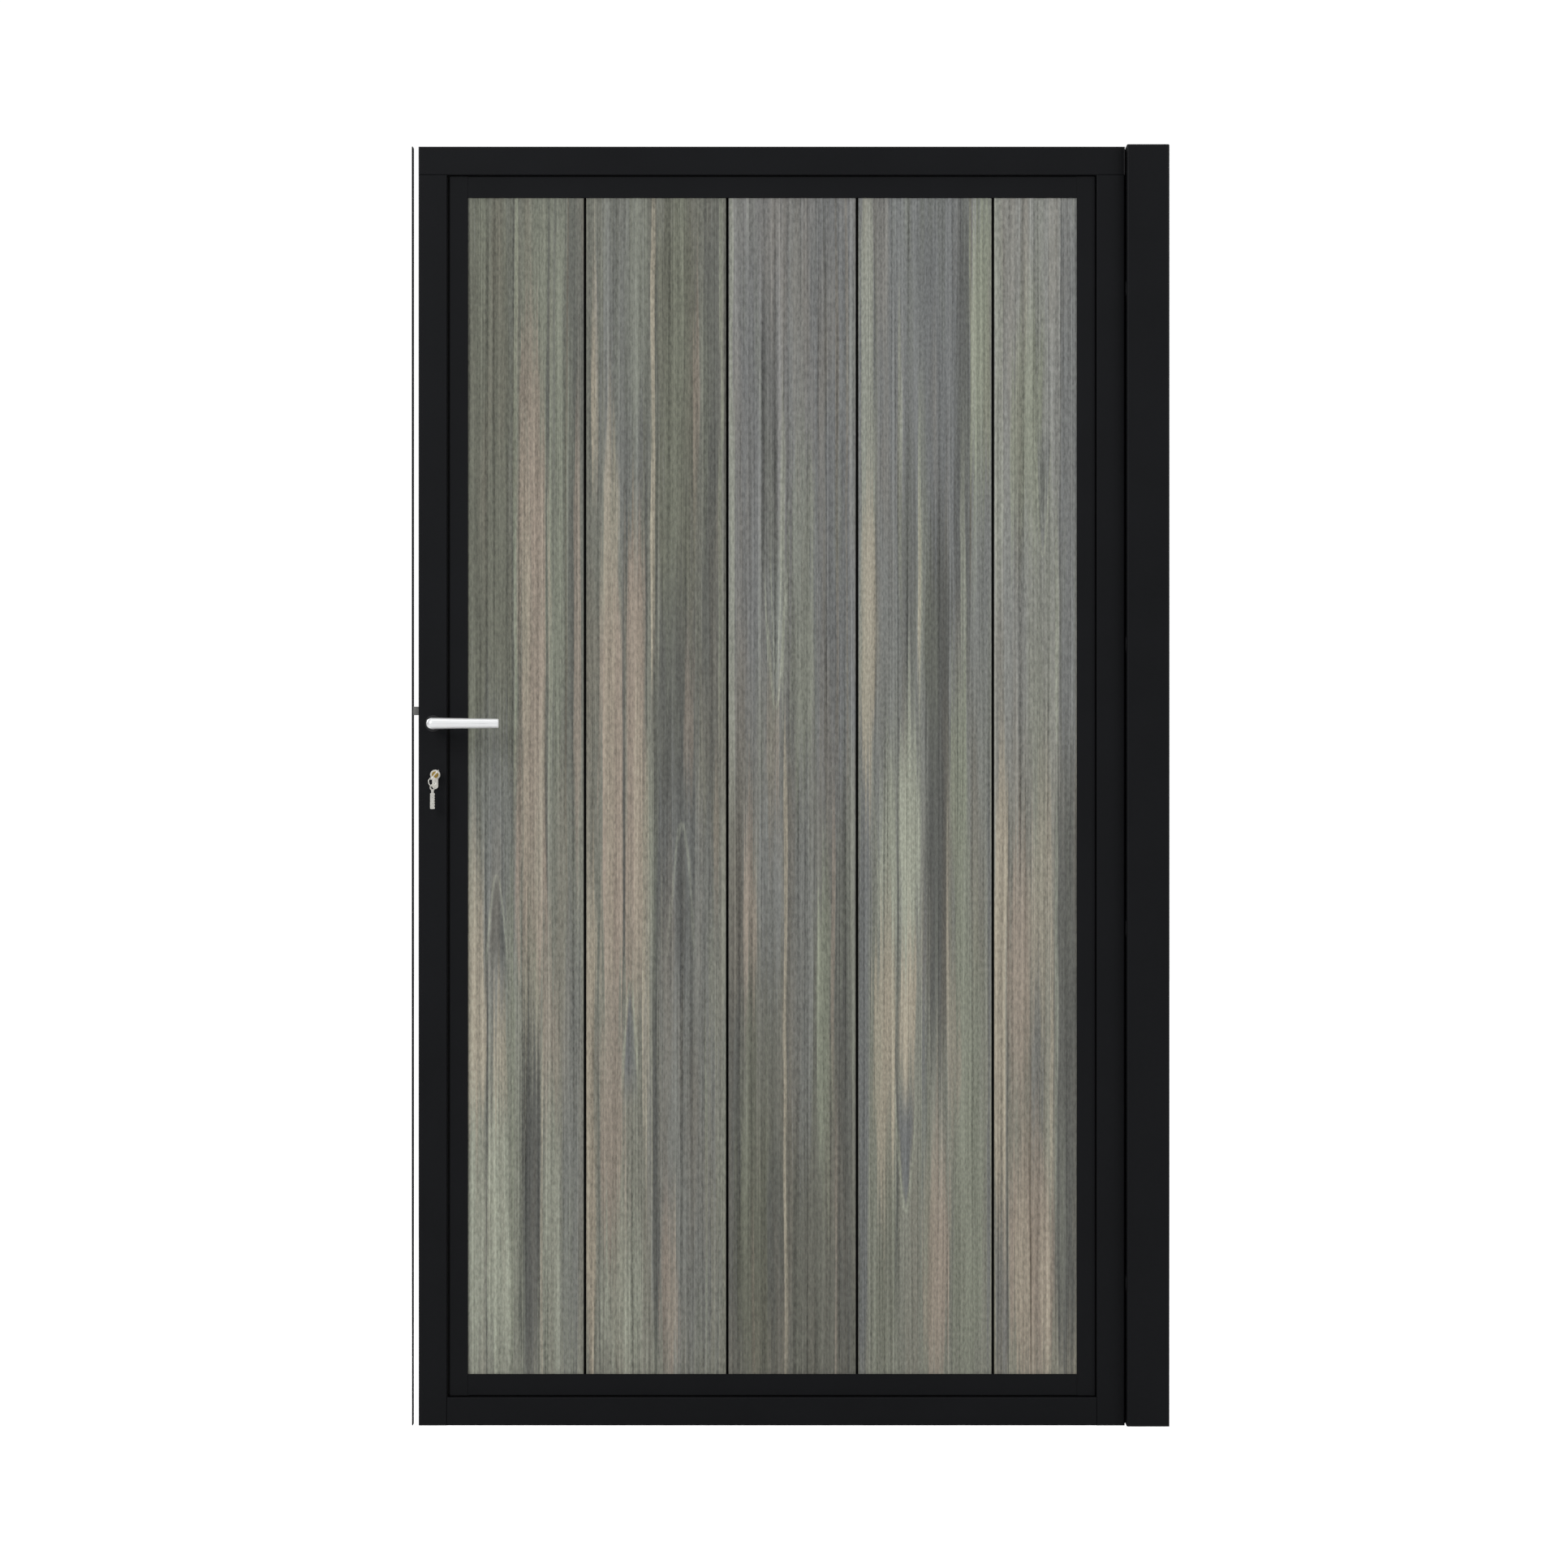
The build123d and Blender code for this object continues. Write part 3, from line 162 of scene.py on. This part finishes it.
# Each board has its ground tone at the top and at the foot, its streaks and its cathedral arches.
# A streak is (place across, width, lower end, upper end, tone, strength), in millimetres: across
# from the board's left visible edge and up from the leaf's foot. An arch is (place across, half
# width, height of its tip, length from the tip, tone, strength); a negative length hangs down.
FOOT = 60
HEAD = 1760
BOARDS = {
    "board_1": {
        "ground": ((101, 103, 95), (122, 123, 113)),
        "streaks": [
            (26, 74, 880, HEAD, "olive", 0.75),
            (33, 60, 560, 1000, "slate", 0.6),
            (67, 5, 900, HEAD, "sage", 0.8),
            (104, 64, 880, HEAD, "sage", 0.45),
            (88, 26, 1180, 1560, "rose", 0.75),
            (91, 40, 560, 1380, "rose", 0.85),
            (82, 14, 700, 1300, "sand", 0.45),
            (112, 3, 700, HEAD, "shade", 0.7),
            (121, 3, 900, HEAD, "shade", 0.55),
            (150, 26, 880, HEAD, "shade", 0.55),
            (155, 10, 820, 1420, "rose", 0.6),
            (139, 3, 600, HEAD, "umber", 0.4),
            (12, 25, 400, 820, "sand", 0.8),
            (12, 25, FOOT, 430, "mist", 0.7),
            (26, 3, FOOT, 800, "shade", 0.75),
            (44, 23, 400, 600, "sand", 0.8),
            (43, 34, FOOT, 450, "mist", 0.95),
            (62, 4, FOOT, 760, "sage", 0.55),
            (88, 28, 540, 690, "sage", 0.6),
            (115, 34, 470, 620, "rose", 0.65),
            (88, 30, FOOT, 545, "shade", 0.9),
            (104, 4, FOOT, 620, "cream", 0.5),
            (119, 26, FOOT, 470, "mist", 0.55),
            (145, 30, FOOT, 700, "slate", 0.5),
        ],
        "arches": [(41, 17, 775, -150, "shade", 0.8), (78, 16, 1440, -420, "sand", 0.25)],
    },
    "board_2": {
        "ground": ((104, 105, 97), (120, 120, 110)),
        "streaks": [
            (11, 11, 1330, 1650, "sand", 0.75),
            (50, 66, 1220, HEAD, "slate", 0.5),
            (34, 24, 1000, 1400, "sand", 0.7),
            (38, 34, 580, 1180, "rose", 0.95),
            (70, 30, 580, 1270, "rose", 0.9),
            (34, 14, 640, 1150, "sand", 0.5),
            (74, 14, 640, 1080, "sand", 0.45),
            (53, 3, 560, 1260, "shade", 0.85),
            (94, 6, 1080, HEAD, "cream", 0.75),
            (85, 3, 900, HEAD, "shade", 0.55),
            (100, 3, 1060, HEAD, "shade", 0.6),
            (127, 52, 1080, HEAD, "olive", 0.85),
            (128, 60, 640, 1180, "shade", 0.75),
            (154, 9, 1320, 1560, "rose", 0.6),
            (145, 14, 930, 1090, "rose", 0.55),
            (178, 30, 860, HEAD, "shade", 0.65),
            (189, 4, 1000, HEAD, "sage", 0.55),
            (7, 14, FOOT, 790, "sand", 0.95),
            (19, 3, FOOT, 820, "shade", 0.6),
            (85, 11, 440, 900, "cream", 0.65),
            (38, 36, 260, 590, "rose", 0.7),
            (53, 62, FOOT, 300, "mist", 0.7),
            (140, 92, FOOT, 900, "slate", 0.5),
            (98, 8, FOOT, 900, "shade", 0.8),
            (116, 24, FOOT, 300, "rose", 0.75),
            (184, 8, 740, 930, "fawn", 0.7),
            (150, 4, 120, 760, "shade", 0.6),
            (170, 3, 90, 640, "sage", 0.5),
        ],
        "arches": [(64, 14, 625, -190, "slate", 0.9), (135, 22, 850, -230, "shade", 0.5)],
    },
    "board_3": {
        "ground": ((112, 112, 110), (97, 97, 89)),
        "streaks": [
            (4, 7, 700, HEAD, "mist", 0.45),
            (32, 34, 1000, 1660, "slate", 0.6),
            (56, 24, 1150, 1640, "shade", 0.5),
            (96, 22, 1180, HEAD, "pewter", 0.85),
            (76, 8, 1000, 1470, "mist", 0.5),
            (104, 40, 900, 1400, "sage", 0.45),
            (148, 54, 860, HEAD, "slate", 0.75),
            (135, 3, 900, HEAD, "shade", 0.55),
            (152, 4, 900, 1700, "fawn", 0.45),
            (166, 3, 860, HEAD, "fawn", 0.4),
            (62, 20, 810, 1030, "rose", 0.55),
            (8, 22, FOOT, 880, "shade", 0.65),
            (30, 20, 600, 830, "rose", 0.75),
            (33, 14, 300, 640, "olive", 0.7),
            (60, 40, 640, 900, "pewter", 0.6),
            (80, 5, FOOT, 980, "cream", 0.7),
            (86, 3, FOOT, 900, "shade", 0.5),
            (103, 34, 380, 900, "pewter", 0.45),
            (135, 22, 340, 760, "sage", 0.8),
            (147, 5, 480, 900, "rose", 0.5),
            (44, 66, FOOT, 440, "olive", 0.95),
            (66, 26, FOOT, 400, "shade", 0.7),
            (34, 4, FOOT, 330, "fawn", 0.45),
            (152, 4, FOOT, 420, "rose", 0.55),
            (163, 24, FOOT, 860, "shade", 0.6),
        ],
        "arches": [(66, 18, 1010, 230, "pewter", 0.85), (66, 9, 1060, 200, "slate", 0.7)],
    },
    "board_4": {
        "ground": ((110, 112, 111), (120, 121, 111)),
        "streaks": [
            (12, 22, 980, HEAD, "mist", 0.55),
            (13, 20, 900, 1330, "sand", 0.7),
            (24, 3, 900, HEAD, "shade", 0.5),
            (118, 84, 1180, HEAD, "slate", 0.75),
            (58, 6, 1150, 1560, "mist", 0.6),
            (85, 6, 1000, 1370, "mist", 0.65),
            (84, 5, 1040, 1260, "cream", 0.8),
            (68, 24, 1020, 1380, "shade", 0.55),
            (112, 36, 540, 1260, "shade", 0.95),
            (147, 22, 1080, HEAD, "shade", 0.6),
            (158, 3, 1200, HEAD, "umber", 0.5),
            (172, 30, 1300, HEAD, "sage", 0.85),
            (161, 5, 1350, HEAD, "mist", 0.5),
            (146, 9, 1050, 1330, "mist", 0.5),
            (70, 30, 640, 1010, "mist", 0.85),
            (140, 26, 700, 1070, "sage", 0.8),
            (8, 16, FOOT, 900, "slate", 0.8),
            (38, 32, 650, 920, "mist", 0.7),
            (38, 32, 330, 700, "sand", 0.95),
            (38, 30, FOOT, 340, "olive", 0.5),
            (54, 3, 180, 900, "shade", 0.85),
            (70, 27, 470, 680, "sand", 0.95),
            (70, 25, 700, 900, "mist", 0.6),
            (92, 6, 300, 760, "slate", 0.7),
            (125, 5, 540, 800, "cream", 0.6),
            (152, 50, FOOT, 760, "sage", 0.55),
            (134, 26, 450, 590, "rose", 0.55),
            (112, 36, FOOT, 410, "rose", 0.85),
            (100, 12, 120, 380, "fawn", 0.5),
            (132, 3, FOOT, 420, "shade", 0.5),
            (183, 5, FOOT, 900, "slate", 0.6),
        ],
        "arches": [(66, 17, 300, 200, "slate", 0.95), (28, 12, 760, 260, "slate", 0.35)],
    },
    "board_5": {
        "ground": ((125, 126, 122), (122, 120, 109)),
        "streaks": [
            (6, 13, 1180, HEAD, "mist", 0.4),
            (46, 46, 1220, 1580, "sage", 0.75),
            (30, 30, 900, 1300, "pewter", 0.5),
            (89, 6, 940, 1250, "mist", 0.6),
            (95, 5, 900, 1720, "shade", 0.65),
            (106, 24, 900, HEAD, "slate", 0.7),
            (9, 18, 300, 930, "sand", 0.8),
            (19, 4, FOOT, 920, "shade", 0.75),
            (36, 32, 480, 830, "rose", 0.75),
            (68, 34, 610, 920, "sand", 0.5),
            (82, 5, 280, 730, "cream", 0.6),
            (60, 20, 360, 620, "slate", 0.55),
            (54, 66, FOOT, 390, "rose", 0.95),
            (40, 22, FOOT, 330, "sand", 0.55),
            (72, 16, FOOT, 330, "sand", 0.5),
            (52, 3, FOOT, 520, "umber", 0.7),
            (10, 18, FOOT, 300, "slate", 0.6),
            (101, 36, FOOT, 930, "shade", 0.85),
            (88, 4, 200, 900, "mist", 0.4),
        ],
        "arches": [(69, 13, 1222, 210, "slate", 0.75), (69, 6, 1262, 120, "shade", 0.6)],
    },
}
STREAK_FADE = 130.0  # mm over which a streak thins out at either end
STREAK_SPREAD = 0.62  # a streak's half width as a share of the width it is listed with
SOFT_EDGE = 0.45
PIGMENT = 1.05  # strength of all streaks together
GROUND_TURN = (300.0, 1500.0)  # mm up, where the foot's ground tone turns into the top's
STRAND_RUN = 380.0  # mm that single strands run past a streak's ends
DRIFT = 9.0  # mm that a streak wanders sideways
JITTER = 6.0  # mm that its strands stray
RAGGED = 1.3
SEAM_SHADE_DEPTH = (0.4 * MM, 1.2 * MM)  # below the face, where the pigment gives way to painted shade in the seams
# Colour of the painted shade on the boards' sides and tongues inside the narrow seams.
SEAM_SHADE_TONE = (9, 9, 8)
EMBOSSING = 0.25 * MM
BOARD_ROUGHNESS = 0.72


def group_of(name, colours, numbers):
    """A node group with those inputs and one colour output."""
    group = bpy.data.node_groups.new(name, "ShaderNodeTree")
    for label in colours:
        group.interface.new_socket(name=label, in_out="INPUT", socket_type="NodeSocketColor")
    for label in numbers:
        group.interface.new_socket(name=label, in_out="INPUT", socket_type="NodeSocketFloat")
    group.interface.new_socket(name="Result", in_out="OUTPUT", socket_type="NodeSocketColor")
    inputs = group.nodes.new("NodeGroupInput").outputs
    result = group.nodes.new("NodeGroupOutput").inputs[0]
    return group, inputs, result


def streak_group():
    """One streak of pigment, which thins out at both ends and along its edges."""
    numbers = ("Across", "Height", "Ragged", "Centre", "Half width", "Low", "High", "Strength")
    group, given, result = group_of("grain_streak", ("Ground", "Tone"), numbers)
    aside = calc(group, "ABSOLUTE", calc(group, "SUBTRACT", given["Across"], given["Centre"]))
    aside = calc(group, "DIVIDE", aside, given["Half width"])
    above = smooth(group, calc(group, "SUBTRACT", given["Height"], given["Low"]), -STREAK_FADE, STREAK_FADE)
    below = smooth(group, calc(group, "SUBTRACT", given["High"], given["Height"]), -STREAK_FADE, STREAK_FADE)
    ends = calc(group, "MULTIPLY", above, below)
    reach = calc(group, "ADD", calc(group, "MULTIPLY_ADD", ends, 0.6, 0.4), given["Ragged"])
    cover = smooth(group, calc(group, "SUBTRACT", reach, aside), 0.0, SOFT_EDGE)
    share = calc(group, "MULTIPLY", calc(group, "MULTIPLY", cover, ends), given["Strength"])
    feed(group, result, blend(group, share, given["Ground"], given["Tone"]))
    return group


def arch_group():
    """A cathedral arch: a wedge with a round tip and a pale rim, which fades along its length."""
    numbers = ("Across", "Height", "Ragged", "Centre", "Half width", "Tip", "Length", "Strength")
    group, given, result = group_of("grain_arch", ("Ground", "Tone", "Rim"), numbers)
    aside = calc(group, "ABSOLUTE", calc(group, "SUBTRACT", given["Across"], given["Centre"]))
    aside = calc(group, "DIVIDE", aside, given["Half width"])
    along = calc(group, "DIVIDE", calc(group, "SUBTRACT", given["Height"], given["Tip"]), given["Length"])
    opened = calc(group, "POWER", calc(group, "MAXIMUM", along, 0.0), 0.6)
    inside = calc(group, "SUBTRACT", calc(group, "MINIMUM", opened, 1.0), aside)
    inside = calc(group, "ADD", inside, calc(group, "MULTIPLY", given["Ragged"], 0.3))
    fade = calc(group, "MULTIPLY", smooth(group, along, 0.55, 1.0, 1.0, 0.0), given["Strength"])
    fade = calc(group, "MULTIPLY", fade, smooth(group, along, -0.02, 0.02))
    core = calc(group, "MULTIPLY", smooth(group, inside, 0.05, 0.3), fade)
    rim = smooth(group, calc(group, "ABSOLUTE", inside), 0.0, 0.16, 0.7, 0.0)
    rimmed = blend(group, calc(group, "MULTIPLY", rim, fade), given["Ground"], given["Rim"])
    feed(group, result, blend(group, core, rimmed, given["Tone"]))
    return group


def board_left_edges():
    """Each board's left visible edge, in metres: the channel's lip, or the seam beside it."""
    edges = {name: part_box(name)[0].x for name in BOARDS}
    edges["board_1"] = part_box("latch_side_channel")[1].x
    return edges


def lay_streaks(tree, ground, sockets, group, rows):
    """Puts one group node for each row on the ground colour."""
    for row in rows:
        node = tree.nodes.new("ShaderNodeGroup")
        node.node_tree = group
        for label, value in {"Ground": ground, **sockets, **row}.items():
            feed(tree, node.inputs[label], value)
        ground = node.outputs[0]
    return ground


def streak_rows(layout):
    """The streak group's own inputs, for each streak of one board."""
    return [
        {
            "Centre": float(centre),
            "Half width": width * STREAK_SPREAD,
            "Low": float(low),
            "High": float(high),
            "Tone": srgb(*TONES[tone]),
            "Strength": strength * PIGMENT,
        }
        for centre, width, low, high, tone, strength in layout["streaks"]
    ]


def arch_rows(layout):
    """The arch group's own inputs, for each arch of one board."""
    return [
        {
            "Centre": float(centre),
            "Half width": float(half_width),
            "Tip": float(tip),
            "Length": float(length),
            "Tone": srgb(*TONES[tone]),
            "Rim": srgb(*TONES["mist"]),
            "Strength": strength,
        }
        for centre, half_width, tip, length, tone, strength in layout["arches"]
    ]


def pigments(tree, place, parts, layout, left, shift, groups):
    """A board's ground tones under its streaks, its arches and two faint tinges."""
    level = calc(tree, "MULTIPLY", parts.outputs["Z"], 1 / MM)
    strands = noise(tree, place, (330, 330, 1.6), 2.0, shift + 9)
    height = calc(tree, "MULTIPLY_ADD", strands, STRAND_RUN, level)
    plain = calc(tree, "MULTIPLY", calc(tree, "SUBTRACT", parts.outputs["X"], left), 1 / MM)
    drift = calc(tree, "MULTIPLY", noise(tree, place, (3, 3, 2.2), 1.0, shift), DRIFT)
    jitter = calc(tree, "MULTIPLY", noise(tree, place, (420, 420, 3.0), 2.0, shift), JITTER)
    drifted = calc(tree, "ADD", plain, drift)
    ragged = calc(tree, "MULTIPLY", noise(tree, place, (260, 260, 4.0), 2.0, shift), RAGGED)
    frayed = {"Across": calc(tree, "ADD", drifted, jitter), "Height": height, "Ragged": ragged}
    even = {"Across": drifted, "Height": level, "Ragged": ragged}

    top, foot = (srgb(*tone) for tone in layout["ground"])
    colour = blend(tree, smooth(tree, level, *GROUND_TURN), foot, top)
    colour = lay_streaks(tree, colour, frayed, groups["streak"], streak_rows(layout))
    colour = lay_streaks(tree, colour, even, groups["arch"], arch_rows(layout))

    tinge = noise(tree, place, (42, 42, 1.8), 2.0, shift + 1)
    colour = blend(tree, smooth(tree, tinge, 0.0, 0.25, 0.0, 0.35), colour, srgb(*TONES["fawn"]))
    return blend(tree, smooth(tree, tinge, 0.0, -0.25, 0.0, 0.35), colour, srgb(*TONES["sage"]))


def grain(tree, place, shift):
    """A board's fine grain: how light it is, its threads and its short fibres."""
    bands = noise(tree, place, (150, 150, 0.8), 3.0, shift + 3)
    threads = noise(tree, place, (480, 480, 4.0), 2.0, shift + 5)
    fibres = noise(tree, place, (430, 430, 150.0), 3.0, shift + 7)
    veins = smooth(tree, noise(tree, place, (210, 210, 0.9), 1.0, shift + 11), 0.08, 0.2, 0.0, 0.26)
    crests = smooth(tree, noise(tree, place, (240, 240, 0.8), 1.0, shift + 13), 0.1, 0.22, 0.0, 0.3)
    light = calc(tree, "MULTIPLY_ADD", bands, 0.9, 1.02)
    light = calc(tree, "MULTIPLY_ADD", threads, 0.9, light)
    light = calc(tree, "MULTIPLY_ADD", fibres, 1.2, light)
    light = calc(tree, "SUBTRACT", calc(tree, "ADD", light, crests), veins)
    return light, threads, fibres


def depth_below_face(tree, parts, name):
    """How deep a place lies below the nearer of a board's two faces, in metres."""
    front, back = (corner.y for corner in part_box(name))
    below_front = calc(tree, "SUBTRACT", parts.outputs["Y"], front)
    below_back = calc(tree, "SUBTRACT", back, parts.outputs["Y"])
    return calc(tree, "MINIMUM", below_front, below_back)


def board_material(name, layout, left, groups):
    """Embossed composite in a board's own pigments, with painted shade on its sides and its tongue."""
    material, tree, shader, place = new_material("composite_" + name, BOARD_ROUGHNESS, specular=0.25)
    shift = 10.0 + left * 50
    parts = tree.nodes.new("ShaderNodeSeparateXYZ")
    feed(tree, parts.inputs[0], place)
    colour = pigments(tree, place, parts, layout, left, shift, groups)
    light, threads, fibres = grain(tree, place, shift)
    colour = scaled(tree, colour, light)
    depth = depth_below_face(tree, parts, name)
    # Painted shade: the board's sides and tongue, deep in the narrow seams, turn near black.
    colour = blend(tree, smooth(tree, depth, *SEAM_SHADE_DEPTH), colour, srgb(*SEAM_SHADE_TONE))
    feed(tree, shader.inputs["Base Color"], colour)
    relief = calc(tree, "ADD", calc(tree, "MULTIPLY", threads, 0.8), fibres)
    bump(tree, shader, relief, EMBOSSING, 0.7)
    feed(tree, shader.inputs["Roughness"], calc(tree, "MULTIPLY_ADD", fibres, 0.25, BOARD_ROUGHNESS))
    return material


# ---- Metals, coatings, plastics ----


def powder_coat():
    """Matt black with the very fine orange peel of a baked powder."""
    material, tree, shader, place = new_material("black_powder_coat", 0.5, specular=0.12)
    peel = noise(tree, place, (900, 900, 900), 2.0)
    cloud = noise(tree, place, (9, 9, 9), 2.0, 4.0)
    colour = blend(tree, calc(tree, "ADD", cloud, 0.5), srgb(11, 12, 14), srgb(15, 16, 19))
    feed(tree, shader.inputs["Base Color"], colour)
    feed(tree, shader.inputs["Roughness"], calc(tree, "MULTIPLY_ADD", cloud, 0.12, 0.5))
    bump(tree, shader, peel, 0.06 * MM, 0.6)
    return material


def satin_silver():
    """Anodised aluminium, satin-brushed along the lever."""
    material, tree, shader, place = new_material("satin_silver", 0.42, 0.55)
    brushed = noise(tree, place, (60, 2400, 2400), 3.0)
    colour = scaled(tree, srgb(236, 237, 238)[:3], calc(tree, "MULTIPLY_ADD", brushed, 0.06, 1.0))
    feed(tree, shader.inputs["Base Color"], colour)
    feed(tree, shader.inputs["Roughness"], calc(tree, "MULTIPLY_ADD", brushed, 0.3, 0.42))
    bump(tree, shader, brushed, 0.03 * MM, 0.5)
    return material


def metal(name, level, roughness, scales, tint=0.08, depth=0.02, metallic=1.0):
    """A bare or plated metal with its finishing marks along the axis that has the lowest scale."""
    material, tree, shader, place = new_material(name, roughness, metallic)
    marks = noise(tree, place, scales, 3.0)
    stain = noise(tree, place, (45, 45, 45), 2.0, 6.0)
    light = calc(tree, "MULTIPLY_ADD", stain, tint, calc(tree, "MULTIPLY_ADD", marks, tint, 1.0))
    feed(tree, shader.inputs["Base Color"], scaled(tree, srgb(*level)[:3], light))
    feed(tree, shader.inputs["Roughness"], calc(tree, "MULTIPLY_ADD", marks, 0.2, roughness))
    bump(tree, shader, marks, depth * MM, 0.5)
    return material


def moulded(name, level, roughness, grain, depth):
    """Plastic, rubber or black oxide: one dark colour with a fine even grain."""
    material, tree, shader, place = new_material(name, roughness, specular=0.3)
    skin = noise(tree, place, (grain, grain, grain), 3.0)
    bloom = noise(tree, place, (60, 60, 60), 2.0, 2.0)
    light = calc(tree, "MULTIPLY_ADD", bloom, 0.3, 1.0)
    feed(tree, shader.inputs["Base Color"], scaled(tree, srgb(*level)[:3], light))
    feed(tree, shader.inputs["Roughness"], calc(tree, "MULTIPLY_ADD", skin, 0.2, roughness))
    bump(tree, shader, skin, depth * MM, 0.6)
    return material


def slot_materials():
    """One material for each material slot of the record but the boards."""
    return {
        "black_powder_coat": powder_coat(),
        "satin_silver": satin_silver(),
        "nickel": metal("nickel", (236, 234, 226), 0.3, (500, 500, 500), 0.05, 0.01, 0.55),
        "brass": metal("brass", (212, 178, 96), 0.28, (2600, 300, 2600)),
        "stainless": metal("stainless", (205, 205, 203), 0.32, (2200, 2200, 120)),
        "zinc_steel": metal("zinc_steel", (188, 190, 193), 0.38, (420, 420, 420), 0.2),
        "raw_aluminium": metal("raw_aluminium", (200, 200, 202), 0.42, (1800, 60, 1800)),
        "black_steel": moulded("black_steel", (30, 30, 32), 0.45, 1500, 0.02),
        "black_plastic": moulded("black_plastic", (26, 26, 28), 0.6, 1100, 0.05),
        "black_rubber": moulded("black_rubber", (18, 18, 18), 0.8, 1600, 0.04),
    }


def paint_frame():
    """Gives each CAD node the material of its slot, and each board its own."""
    materials = slot_materials()
    groups = {"streak": streak_group(), "arch": arch_group()}
    edges = board_left_edges()
    for part in frame["record"]["subparts"]:
        name = part["node"]
        slots = frame["nodes"][name].data.materials
        slots.clear()
        if name in BOARDS:
            slots.append(board_material(name, BOARDS[name], edges[name], groups))
        else:
            slots.append(materials[part["material_slot"]])


# ---- Floor, light and camera ----

FLOOR_Z = -0.05
FLOOR_RADIUS = 30.0
FLOOR_SEGMENTS = 96
SKY_GLOW = 1.05  # what the camera sees of the sky, a little over white
AMBIENT = 0.18  # what the object gets of it


def floor():
    """A pale floor 50 mm below the leaf, which only the camera sees glow."""
    ring = [
        (
            FLOOR_RADIUS * math.cos(2 * math.pi * step / FLOOR_SEGMENTS),
            FLOOR_RADIUS * math.sin(2 * math.pi * step / FLOOR_SEGMENTS),
            FLOOR_Z,
        )
        for step in range(FLOOR_SEGMENTS)
    ]
    mesh = bpy.data.meshes.new("floor")
    mesh.from_pydata(ring, [], [list(range(FLOOR_SEGMENTS))])
    disc = bpy.data.objects.new("floor", mesh)
    bpy.context.scene.collection.objects.link(disc)
    material, tree, shader, _ = new_material("pale_floor", 0.9, specular=0.0)
    shader.inputs["Base Color"].default_value = (0.8, 0.8, 0.8, 1.0)
    shader.inputs["Emission Color"].default_value = (1.0, 1.0, 1.0, 1.0)
    seen = tree.nodes.new("ShaderNodeLightPath").outputs["Is Camera Ray"]
    feed(tree, shader.inputs["Emission Strength"], seen)
    mesh.materials.append(material)


def sky():
    """White to the eye, and a dimmer even light on the object."""
    world = bpy.data.worlds.new("sky")
    world.use_nodes = True
    bpy.context.scene.world = world
    tree = world.node_tree
    seen = tree.nodes.new("ShaderNodeLightPath").outputs["Is Camera Ray"]
    background = next(node for node in tree.nodes if node.type == "BACKGROUND")
    background.inputs["Color"].default_value = (1.0, 1.0, 1.0, 1.0)
    feed(tree, background.inputs["Strength"], calc(tree, "MULTIPLY_ADD", seen, SKY_GLOW - AMBIENT, AMBIENT))


def soft_box(name, azimuth, elevation, distance, size, power, target):
    """A square area light on a sphere about the target; azimuth 0 is straight in front."""
    light = bpy.data.lights.new(name, "AREA")
    light.shape = "SQUARE"
    light.size = size
    light.energy = power
    lamp = bpy.data.objects.new(name, light)
    turn, lift = math.radians(azimuth), math.radians(elevation)
    away = Vector((math.sin(turn) * math.cos(lift), -math.cos(turn) * math.cos(lift), math.sin(lift)))
    lamp.location = target + away * distance
    lamp.rotation_euler = away.to_track_quat("Z", "Y").to_euler()
    lamp.visible_camera = False
    bpy.context.scene.collection.objects.link(lamp)


def lights():
    """Four soft boxes around the leaf and one above it."""
    middle = (cad_low + cad_high) / 2
    for name, azimuth, power in (
        ("front_left", -38, 122.0),
        ("front_right", 40, 98.0),
        ("back_left", 142, 110.0),
        ("back_right", -140, 110.0),
    ):
        soft_box(name, azimuth, elevation=24, distance=5.0, size=2.6, power=power, target=middle)
    soft_box("overhead", 0, elevation=88, distance=4.5, size=4.0, power=92.0, target=middle)


LENS = 200.0  # mm
SENSOR = 36.0  # mm
VIEW_WIDTH = 2.2065  # metres seen at the leaf's front
AIM = Vector((-0.00895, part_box("latch_stile")[0].y, 0.903))


def camera():
    """A long lens straight in front of the leaf, so that VIEW_WIDTH of its front plane is seen."""
    data = bpy.data.cameras.new("camera")
    data.lens = LENS
    data.sensor_width = SENSOR
    data.clip_end = 100.0
    eye = bpy.data.objects.new("camera", data)
    eye.location = AIM - Vector((0, VIEW_WIDTH * LENS / SENSOR, 0))
    eye.rotation_euler = (math.radians(90), 0, 0)
    bpy.context.scene.collection.objects.link(eye)
    bpy.context.scene.camera = eye


bpy.context.scene.view_settings.view_transform = "Standard"
camera()
floor()
sky()
lights()
paint_frame()
